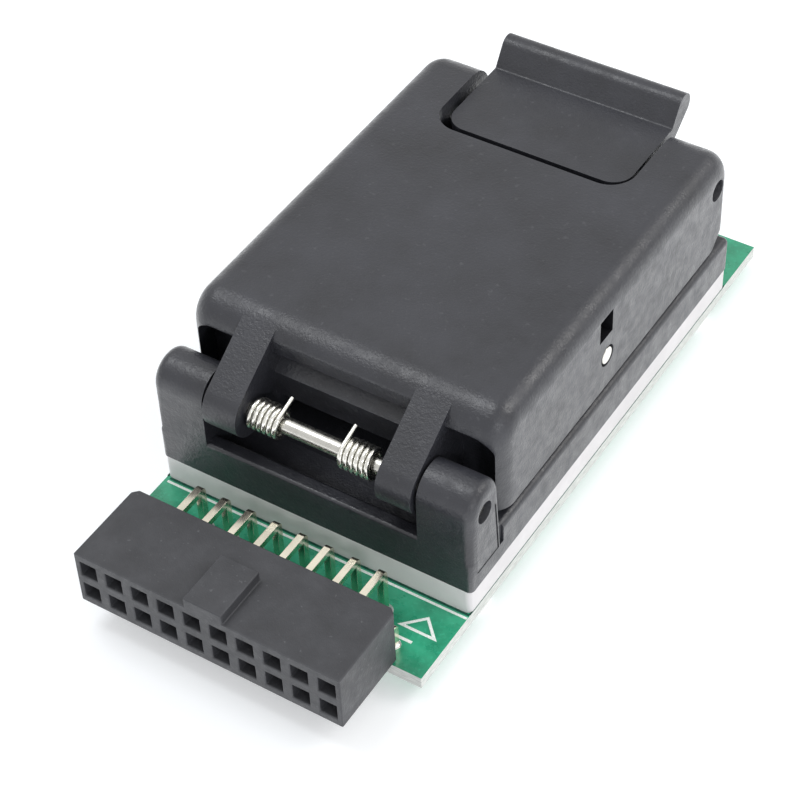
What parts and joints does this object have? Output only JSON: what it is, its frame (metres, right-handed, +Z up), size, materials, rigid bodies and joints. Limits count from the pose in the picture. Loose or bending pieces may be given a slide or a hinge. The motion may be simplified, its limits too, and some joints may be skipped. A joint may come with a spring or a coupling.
{
  "type": "emmc test socket",
  "caption": "Clamshell test socket for a memory chip on a small board, with a right-angle pin header, a sprung hinged lid and a rocking latch.",
  "frame": {"origin": "on the table, under the middle of the footprint", "axes": "+X across the socket, +Y from the pin header to the latch, +Z up"},
  "size_m": [0.0308, 0.0666, 0.0209],
  "materials": {
    "board_laminate": "green solder mask over glass laminate",
    "header_plastic": "moulded, matte",
    "contact_tin": "tin plated",
    "spacer_plastic": "milled, off white",
    "socket_plastic": "fine grained moulding",
    "block_plastic": "milled, brown",
    "guide_plastic": "fine moulded",
    "plunger_gold": "gold plated",
    "spring_steel": "bright drawn wire",
    "pin_steel": "ground",
    "screw_steel": "bright zinc",
    "plate_aluminium": "milled and blasted"
  },
  "bodies": {
    "socket": {"circuit_board": "board_laminate", "header_housing": "header_plastic", "header_contacts_upper": "contact_tin", "header_contacts_lower": "contact_tin", "spacer_plate": "spacer_plastic", "base_housing": "socket_plastic", "socket_screws": "screw_steel", "locating_dowels": "pin_steel", "contact_block": "block_plastic", "guide_screws": "screw_steel", "guide_springs": "spring_steel", "hinge_rod": "pin_steel", "torsion_spring_left": "spring_steel", "torsion_spring_right": "spring_steel"},
    "guide": {"chip_guide": "guide_plastic"},
    "plungers": {"contact_plungers": "plunger_gold"},
    "lid": {"lid_cover": "socket_plastic", "cross_pin": "pin_steel", "pressure_springs": "spring_steel", "latch_pin": "pin_steel", "latch_springs": "spring_steel"},
    "pusher": {"pressure_plate": "plate_aluminium"},
    "latch": {"latch_lever": "socket_plastic"}
  },
  "joints": [
    {"name": "lid_hinge", "type": "hinge", "parent": "socket", "child": "lid", "pos_m": [0, -0.01632, 0.01307], "axis": [1, 0, 0], "range_deg": [0, 105], "deforming": ["torsion_spring_left", "torsion_spring_right"]},
    {"name": "latch_pivot", "type": "hinge", "parent": "lid", "child": "latch", "pos_m": [0, 0.02397, 0.01615], "axis": [1, 0, 0], "range_deg": [0, 10], "stiffness_Nm_per_rad": 0.02, "springref_deg": -20.05, "deforming": ["latch_springs"]},
    {"name": "pusher_float", "type": "slide", "parent": "lid", "child": "pusher", "axis": [0, 0, 1], "range_m": [0, 0.0006], "stiffness_N_per_m": 2000, "springref_m": -0.001, "deforming": ["pressure_springs"]},
    {"name": "guide_float", "type": "slide", "parent": "socket", "child": "guide", "axis": [0, 0, -1], "range_m": [0, 0.0005], "stiffness_N_per_m": 1200, "springref_m": -0.0005, "deforming": ["guide_springs"]},
    {"name": "plunger_press", "type": "slide", "parent": "socket", "child": "plungers", "axis": [0, 0, -1], "range_m": [0, 0.0003], "stiffness_N_per_m": 300, "springref_m": -0.0002}
  ]
}
